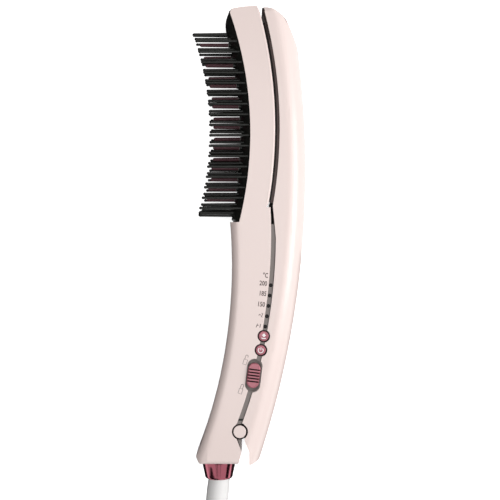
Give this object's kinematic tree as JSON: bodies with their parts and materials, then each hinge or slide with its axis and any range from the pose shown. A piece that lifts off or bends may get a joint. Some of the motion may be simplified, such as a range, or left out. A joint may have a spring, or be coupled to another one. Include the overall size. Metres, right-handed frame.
{
  "type": "hair straightening brush",
  "caption": "Corded hair straightener with clamping plates between a main arm and a lever arm, a bristle brush on the main arm's back, buttons, a slide lock and a swivel cord boot.",
  "frame": {"origin": "where the hinge axis meets the flat side that the object lies on", "axes": "+Y along the body from the cord end to the tip, +X from the main arm to the lever arm, +Z out of the side with the controls, away from the surface that it lies on"},
  "size_m": [0.0878, 0.484, 0.0395],
  "materials": {
    "shell": "satin",
    "strip": "matte",
    "carrier": "matte",
    "hair_plate": "smooth ceramic coating",
    "heater": "matte ceramic",
    "silicone": "soft",
    "bristle_black": "satin",
    "comb_coating": "ceramic coating",
    "steel": "zinc plated",
    "ring_dark": "gloss",
    "board": "lacquered",
    "component": "gloss",
    "lead_sleeve": "matte",
    "rose_button": "metallic rose",
    "lens": "gloss",
    "rose_metal": "polished rose plating",
    "boot": "matte",
    "contact": "bright",
    "cord": "matte",
    "plug_metal": "nickel plated"
  },
  "bodies": {
    "main_arm": {"main_shell": "shell", "main_frame": "strip", "main_carrier": "carrier", "main_plate": "hair_plate", "main_heater": "heater", "main_pads": "silicone", "brush_bed": "bristle_black", "bristles": "bristle_black", "heated_comb": "comb_coating", "heated_teeth": "comb_coating", "tooth_tips": "bristle_black", "comb_heater": "heater", "temperature_sensors": "heater", "thermal_fuse": "heater", "hinge_pin": "steel", "hinge_caps": "shell", "cap_rings": "ring_dark", "opening_spring": "steel", "frame_screws": "steel", "circuit_board": "board", "board_components": "component", "board_screws": "steel", "mains_leads": "lead_sleeve", "heater_leads": "lead_sleeve", "button_board": "board", "tact_switches": "component", "button_rings": "ring_dark", "indicator_lenses": "lens", "collar_ring": "rose_metal", "swivel_bush": "carrier", "contact_block": "carrier", "cord_coil": "cord", "plug_body": "cord", "plug_pins": "plug_metal", "power_cord": "cord", "cord_tail": "cord"},
    "lever": {"lever_shell": "shell", "lever_cover": "carrier", "lever_carrier": "carrier", "lever_plate": "hair_plate", "lever_heater": "heater", "lever_pads": "silicone", "lever_screws": "steel", "lock_catch": "steel"},
    "mode_button": {"mode_button": "rose_button"},
    "power_button": {"power_button": "rose_button"},
    "lock": {"lock_knob": "rose_button", "lock_slide": "carrier"},
    "swivel": {"swivel_boot": "boot", "slip_contacts": "contact"}
  },
  "joints": [
    {"name": "lever_hinge", "type": "hinge", "parent": "main_arm", "child": "lever", "pos_m": [0, 0, 0.019], "axis": [0, 0, -1], "range_deg": [0, 15]},
    {"name": "mode_press", "type": "slide", "parent": "main_arm", "child": "mode_button", "axis": [0, 0, -1], "range_m": [0, 0.0006], "stiffness_N_per_m": 800, "springref_m": -0.0006},
    {"name": "power_press", "type": "slide", "parent": "main_arm", "child": "power_button", "axis": [0, 0, -1], "range_m": [0, 0.0006], "stiffness_N_per_m": 800, "springref_m": -0.0006},
    {"name": "lock_travel", "type": "slide", "parent": "main_arm", "child": "lock", "axis": [0.1219, 0.9925, 0], "range_m": [-0.0021, 0.0021]},
    {"name": "cord_swivel", "type": "hinge", "parent": "main_arm", "child": "swivel", "pos_m": [-0.014, -0.0352, 0.019], "axis": [-0.1115, -0.9938, 0], "continuous": true}
  ]
}
